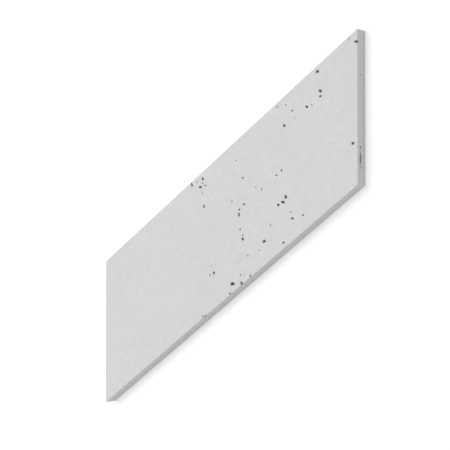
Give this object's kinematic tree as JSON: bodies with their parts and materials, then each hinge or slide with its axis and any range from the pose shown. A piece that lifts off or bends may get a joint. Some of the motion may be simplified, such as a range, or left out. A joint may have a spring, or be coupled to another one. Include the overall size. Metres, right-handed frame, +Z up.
{
  "type": "concrete wall panel",
  "caption": "Flat cast-concrete wall panel with long parallel edges, both ends cut on the slant for chevron cladding, a pale grey face with open air pits and a flat back for bonding.",
  "frame": {"origin": "middle of the flat back, on the floor that the panel lies on", "axes": "+X along the two long edges, +Y square across the panel, +Z up out of the cast face"},
  "size_m": [0.615, 0.16, 0.02],
  "materials": {
    "concrete": "matte as-cast light grey concrete with open air pits"
  },
  "bodies": {
    "root": {"wall_panel": "concrete"}
  },
  "joints": []
}
